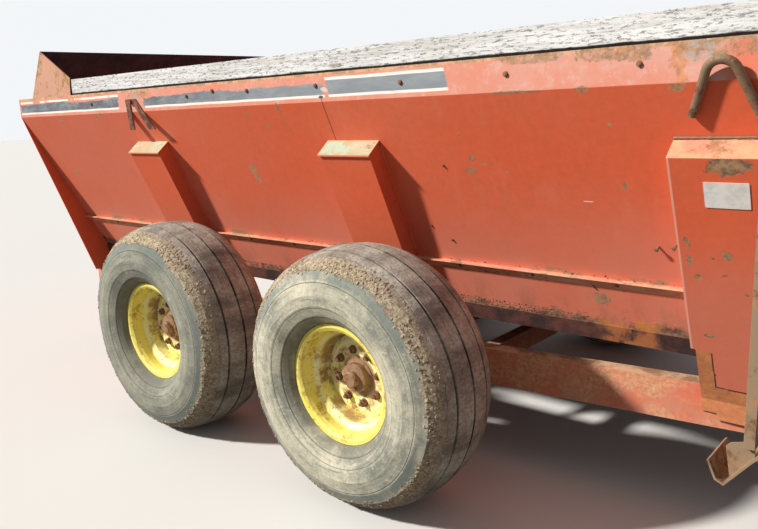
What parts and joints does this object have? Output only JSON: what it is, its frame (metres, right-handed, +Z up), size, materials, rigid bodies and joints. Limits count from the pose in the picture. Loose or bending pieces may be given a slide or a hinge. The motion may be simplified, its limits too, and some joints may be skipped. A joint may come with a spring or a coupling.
{
  "type": "manure spreader",
  "caption": "Towed side-discharge spreader with an open V-shaped tank, floor augers, tandem walking-beam wheels, tongue, jack and a hammer expeller at its front left",
  "frame": {"origin": "on the ground under the middle of the machine's box", "axes": "+X forward to the hitch, +Y to the machine's left, +Z up"},
  "size_m": [6.448, 2.67, 1.891],
  "materials": {
    "red_paint": "faded, rust-streaked",
    "frame_paint": "dull, muddy and rusty",
    "old_wood": "weathered grey",
    "tyre_rubber": "dusty",
    "rim_paint": "chipped, rusty",
    "rusty_iron": "rusted",
    "worn_steel": "scoured by use",
    "bare_steel": "bright",
    "dark_paint": "worn",
    "rusty_steel": "rusted"
  },
  "bodies": {
    "chassis": {"tank_side_right": "red_paint", "tank_side_left": "red_paint", "tank_floor": "frame_paint", "rear_bulkhead": "red_paint", "front_bulkhead": "red_paint", "spill_guard": "red_paint", "ribs_right": "red_paint", "ribs_left": "red_paint", "front_box_right": "red_paint", "plank_right": "old_wood", "plank_left": "old_wood", "frame_rails": "frame_paint", "cross_members": "frame_paint", "tank_saddles": "frame_paint", "tongue": "frame_paint", "hitch_clevis": "frame_paint", "cross_axle": "frame_paint", "walking_beam_right": "frame_paint", "walking_beam_left": "frame_paint", "expeller_housing": "red_paint", "cylinder_bracket": "red_paint", "drive_case": "red_paint", "ladder": "rusty_steel", "grab_loop": "red_paint"},
    "wheel_front_right": {"tyre_front_right": "tyre_rubber", "rim_front_right": "rim_paint", "hub_front_right": "rusty_iron"},
    "wheel_front_left": {"tyre_front_left": "tyre_rubber", "rim_front_left": "rim_paint", "hub_front_left": "rusty_iron"},
    "wheel_rear_right": {"tyre_rear_right": "tyre_rubber", "rim_rear_right": "rim_paint", "hub_rear_right": "rusty_iron"},
    "wheel_rear_left": {"tyre_rear_left": "tyre_rubber", "rim_rear_left": "rim_paint", "hub_rear_left": "rusty_iron"},
    "auger_right": {"auger_right": "worn_steel"},
    "auger_left": {"auger_left": "worn_steel"},
    "expeller": {"expeller_rotor": "worn_steel"},
    "pto_input": {"pto_shaft": "bare_steel"},
    "door": {"discharge_door": "red_paint"},
    "cylinder": {"door_cylinder": "dark_paint"},
    "rod": {"door_rod": "bare_steel"},
    "jack": {"jack_tube": "rusty_steel"},
    "jack_foot": {"jack_leg": "rusty_steel"}
  },
  "joints": [
    {"name": "wheel_front_right_spin", "type": "hinge", "parent": "chassis", "child": "wheel_front_right", "pos_m": [-0.21, -1.128, 0.5], "axis": [0, 1, 0], "continuous": true},
    {"name": "wheel_front_left_spin", "type": "hinge", "parent": "chassis", "child": "wheel_front_left", "pos_m": [-0.21, 1.128, 0.5], "axis": [0, 1, 0], "continuous": true},
    {"name": "wheel_rear_right_spin", "type": "hinge", "parent": "chassis", "child": "wheel_rear_right", "pos_m": [-1.416, -1.128, 0.5], "axis": [0, 1, 0], "continuous": true},
    {"name": "wheel_rear_left_spin", "type": "hinge", "parent": "chassis", "child": "wheel_rear_left", "pos_m": [-1.416, 1.128, 0.5], "axis": [0, 1, 0], "continuous": true},
    {"name": "auger_right_spin", "type": "hinge", "parent": "chassis", "child": "auger_right", "pos_m": [0, -0.26274, 0.832], "axis": [1, 0, 0], "continuous": true},
    {"name": "auger_left_spin", "type": "hinge", "parent": "chassis", "child": "auger_left", "pos_m": [0, 0.26274, 0.737], "axis": [1, 0, 0], "continuous": true},
    {"name": "expeller_spin", "type": "hinge", "parent": "chassis", "child": "expeller", "pos_m": [1, 0.985, 0.9], "axis": [1, 0, 0], "continuous": true},
    {"name": "pto_spin", "type": "hinge", "parent": "chassis", "child": "pto_input", "pos_m": [1.65, 0, 0.73], "axis": [1, 0, 0], "continuous": true},
    {"name": "door_hinge", "type": "hinge", "parent": "chassis", "child": "door", "pos_m": [1.04, 1.21481, 1.09284], "axis": [1, 0, 0], "range_deg": [0, 60]},
    {"name": "door_cylinder_tilt", "type": "hinge", "parent": "chassis", "child": "cylinder", "pos_m": [1.04, 0.96713, 1.42], "axis": [1, 0, 0], "range_deg": [-2, 3]},
    {"name": "door_rod_slide", "type": "slide", "parent": "cylinder", "child": "rod", "axis": [0, 0.6795, -0.7336], "range_m": [-0.056, 0.004]},
    {"name": "jack_swivel", "type": "hinge", "parent": "chassis", "child": "jack", "pos_m": [2.35, -0.25532, 0.425], "axis": [0.2423, -0.9702, 0], "range_deg": [0, 90]},
    {"name": "jack_leg_slide", "type": "slide", "parent": "jack", "child": "jack_foot", "axis": [0, 0, 1], "range_m": [0, 0.24]}
  ],
  "couplings": [
    {"joint": "door_cylinder_tilt", "follows": "door_hinge", "ratio": 0.01219},
    {"joint": "door_rod_slide", "follows": "door_hinge", "m_per_rad": -0.04748}
  ]
}
